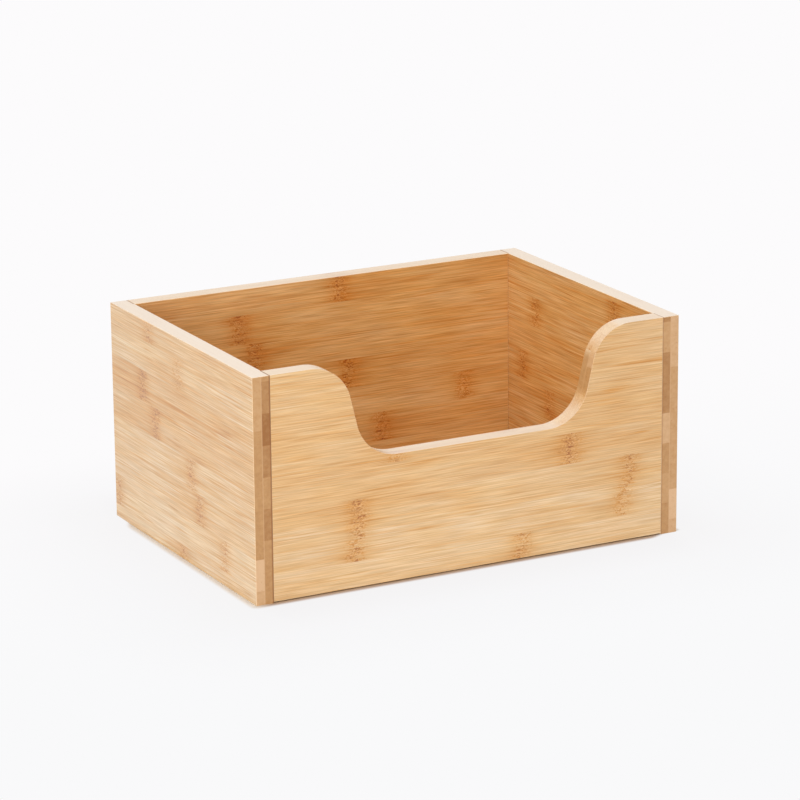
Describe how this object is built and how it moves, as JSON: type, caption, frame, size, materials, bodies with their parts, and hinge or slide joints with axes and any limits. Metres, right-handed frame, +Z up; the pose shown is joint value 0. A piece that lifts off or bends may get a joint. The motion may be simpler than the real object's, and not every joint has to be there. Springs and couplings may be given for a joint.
{
  "type": "open storage box",
  "caption": "Open-topped rectangular bamboo box with a scooped front, for keeping spice jars and small bottles upright and in reach.",
  "frame": {"origin": "under the middle of the box, on the surface that it stands on", "axes": "+X to the right seen from the front, +Y to the back, +Z up; the scooped front faces -Y"},
  "size_m": [0.3, 0.21, 0.144],
  "materials": {
    "side_bamboo": "sanded laminated bamboo, clear satin lacquer",
    "end_bamboo": "sanded laminated bamboo, clear satin lacquer",
    "base_bamboo": "sanded laminated bamboo, clear satin lacquer",
    "dowel_wood": "fluted hardwood, unfinished"
  },
  "bodies": {
    "root": {"left_side_board": "side_bamboo", "right_side_board": "side_bamboo", "front_board": "end_bamboo", "back_board": "end_bamboo", "base_panel": "base_bamboo", "front_left_dowel_1": "dowel_wood", "front_left_dowel_2": "dowel_wood", "front_left_dowel_3": "dowel_wood", "front_right_dowel_1": "dowel_wood", "front_right_dowel_2": "dowel_wood", "front_right_dowel_3": "dowel_wood", "back_left_dowel_1": "dowel_wood", "back_left_dowel_2": "dowel_wood", "back_left_dowel_3": "dowel_wood", "back_right_dowel_1": "dowel_wood", "back_right_dowel_2": "dowel_wood", "back_right_dowel_3": "dowel_wood"}
  },
  "joints": []
}
